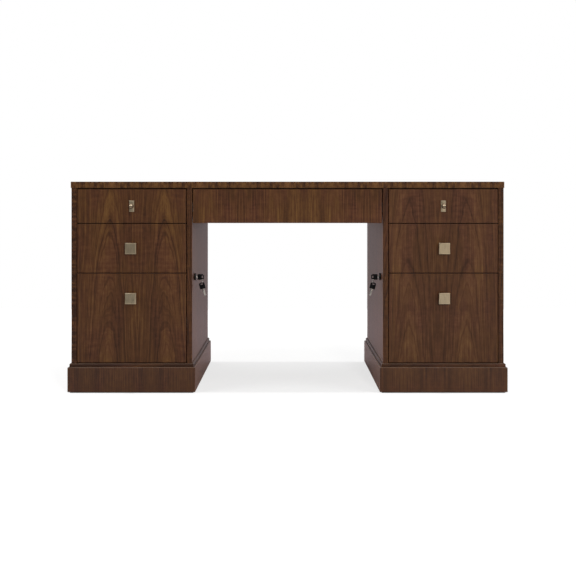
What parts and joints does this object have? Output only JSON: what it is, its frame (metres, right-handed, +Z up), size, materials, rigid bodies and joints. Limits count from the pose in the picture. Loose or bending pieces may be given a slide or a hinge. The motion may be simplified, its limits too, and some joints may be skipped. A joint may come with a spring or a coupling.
{
  "type": "executive desk",
  "caption": "Double-pedestal executive desk in book-matched walnut veneer, with inset drawers on side slides, square bronze knobs, lockable file drawers and stepped plinths.",
  "frame": {"origin": "on the floor, in the middle of the overall footprint, knobs included", "axes": "+X to the right as seen from the drawer side, +Y from the drawers to the back, +Z up"},
  "size_m": [1.6, 0.78, 0.768],
  "materials": {
    "walnut_veneer": "satin lacquered walnut veneer",
    "carcass_wood": "plain, lacquered",
    "drawer_wood": "clear lacquered",
    "slide_steel": "zinc plated",
    "brushed_bronze": "brushed bronze",
    "polished_bronze": "polished bronze",
    "black_lock": "satin black",
    "nickel_steel": "nickel plated",
    "key_plastic": "matt black",
    "glide_plastic": "matt"
  },
  "bodies": {
    "carcass": {"desk_top": "walnut_veneer", "top_edge_lipping": "walnut_veneer", "carcass_rails": "carcass_wood", "rear_apron": "walnut_veneer", "floor_glides": "glide_plastic", "left_outer_side": "walnut_veneer", "left_inner_side": "walnut_veneer", "left_back_panel": "walnut_veneer", "left_bottom_board": "carcass_wood", "left_plinth": "walnut_veneer", "left_plinth_moulding": "walnut_veneer", "right_outer_side": "walnut_veneer", "right_inner_side": "walnut_veneer", "right_back_panel": "walnut_veneer", "right_bottom_board": "carcass_wood", "right_plinth": "walnut_veneer", "right_plinth_moulding": "walnut_veneer", "cabinet_slides": "slide_steel", "lock_housings": "black_lock"},
    "left_top_drawer": {"left_top_drawer_front": "walnut_veneer", "left_top_drawer_box": "drawer_wood", "left_top_drawer_slides": "slide_steel", "left_top_knob": "polished_bronze"},
    "left_middle_drawer": {"left_middle_drawer_front": "walnut_veneer", "left_middle_drawer_box": "drawer_wood", "left_middle_drawer_slides": "slide_steel", "left_middle_knob": "brushed_bronze"},
    "left_file_slide_carriers": {"left_file_slide_carriers": "slide_steel"},
    "left_file_drawer": {"left_file_drawer_front": "walnut_veneer", "left_file_drawer_box": "drawer_wood", "left_file_drawer_slides": "slide_steel", "left_file_knob": "brushed_bronze", "left_file_rails": "slide_steel", "left_lock_striker": "slide_steel"},
    "left_lock_plug": {"left_lock_plug": "nickel_steel"},
    "left_key": {"left_key": "key_plastic"},
    "left_spare_key": {"left_key_ring": "nickel_steel", "left_spare_key": "key_plastic"},
    "right_top_drawer": {"right_top_drawer_front": "walnut_veneer", "right_top_drawer_box": "drawer_wood", "right_top_drawer_slides": "slide_steel", "right_top_knob": "polished_bronze"},
    "right_middle_drawer": {"right_middle_drawer_front": "walnut_veneer", "right_middle_drawer_box": "drawer_wood", "right_middle_drawer_slides": "slide_steel", "right_middle_knob": "brushed_bronze"},
    "right_file_slide_carriers": {"right_file_slide_carriers": "slide_steel"},
    "right_file_drawer": {"right_file_drawer_front": "walnut_veneer", "right_file_drawer_box": "drawer_wood", "right_file_drawer_slides": "slide_steel", "right_file_knob": "brushed_bronze", "right_file_rails": "slide_steel", "right_lock_striker": "slide_steel"},
    "right_lock_plug": {"right_lock_plug": "nickel_steel"},
    "right_key": {"right_key": "key_plastic"},
    "right_spare_key": {"right_key_ring": "nickel_steel", "right_spare_key": "key_plastic"},
    "centre_drawer": {"centre_drawer_front": "walnut_veneer", "centre_drawer_box": "drawer_wood", "centre_drawer_slides": "slide_steel"}
  },
  "joints": [
    {"name": "left_top_drawer_slide", "type": "slide", "parent": "carcass", "child": "left_top_drawer", "axis": [0, -1, 0], "range_m": [0, 0.37]},
    {"name": "left_middle_drawer_slide", "type": "slide", "parent": "carcass", "child": "left_middle_drawer", "axis": [0, -1, 0], "range_m": [0, 0.37]},
    {"name": "left_file_drawer_slide", "type": "slide", "parent": "carcass", "child": "left_file_drawer", "axis": [0, -1, 0], "range_m": [0, 0.55]},
    {"name": "left_file_carrier_slide", "type": "slide", "parent": "carcass", "child": "left_file_slide_carriers", "axis": [0, -1, 0], "range_m": [0, 0.275]},
    {"name": "left_lock_turn", "type": "hinge", "parent": "carcass", "child": "left_lock_plug", "pos_m": [-0.348, -0.265, 0.415], "axis": [1, 0, 0], "range_deg": [0, 90]},
    {"name": "left_key_withdraw", "type": "slide", "parent": "left_lock_plug", "child": "left_key", "axis": [1, 0, 0], "range_m": [0, 0.034]},
    {"name": "left_spare_key_hang", "type": "hinge", "parent": "left_key", "child": "left_spare_key", "pos_m": [-0.3185, -0.265, 0.408], "axis": [-1, 0, 0], "range_deg": [0, 90]},
    {"name": "right_top_drawer_slide", "type": "slide", "parent": "carcass", "child": "right_top_drawer", "axis": [0, -1, 0], "range_m": [0, 0.37]},
    {"name": "right_middle_drawer_slide", "type": "slide", "parent": "carcass", "child": "right_middle_drawer", "axis": [0, -1, 0], "range_m": [0, 0.37]},
    {"name": "right_file_drawer_slide", "type": "slide", "parent": "carcass", "child": "right_file_drawer", "axis": [0, -1, 0], "range_m": [0, 0.55]},
    {"name": "right_file_carrier_slide", "type": "slide", "parent": "carcass", "child": "right_file_slide_carriers", "axis": [0, -1, 0], "range_m": [0, 0.275]},
    {"name": "right_lock_turn", "type": "hinge", "parent": "carcass", "child": "right_lock_plug", "pos_m": [0.348, -0.265, 0.415], "axis": [1, 0, 0], "range_deg": [0, 90]},
    {"name": "right_key_withdraw", "type": "slide", "parent": "right_lock_plug", "child": "right_key", "axis": [-1, 0, 0], "range_m": [0, 0.034]},
    {"name": "right_spare_key_hang", "type": "hinge", "parent": "right_key", "child": "right_spare_key", "pos_m": [0.3185, -0.265, 0.408], "axis": [-1, 0, 0], "range_deg": [0, 90]},
    {"name": "centre_drawer_slide", "type": "slide", "parent": "carcass", "child": "centre_drawer", "axis": [0, -1, 0], "range_m": [0, 0.33]}
  ],
  "couplings": [
    {"joint": "left_file_carrier_slide", "follows": "left_file_drawer_slide", "ratio": 0.5},
    {"joint": "left_spare_key_hang", "follows": "left_lock_turn", "ratio": 1},
    {"joint": "right_file_carrier_slide", "follows": "right_file_drawer_slide", "ratio": 0.5},
    {"joint": "right_spare_key_hang", "follows": "right_lock_turn", "ratio": 1}
  ]
}
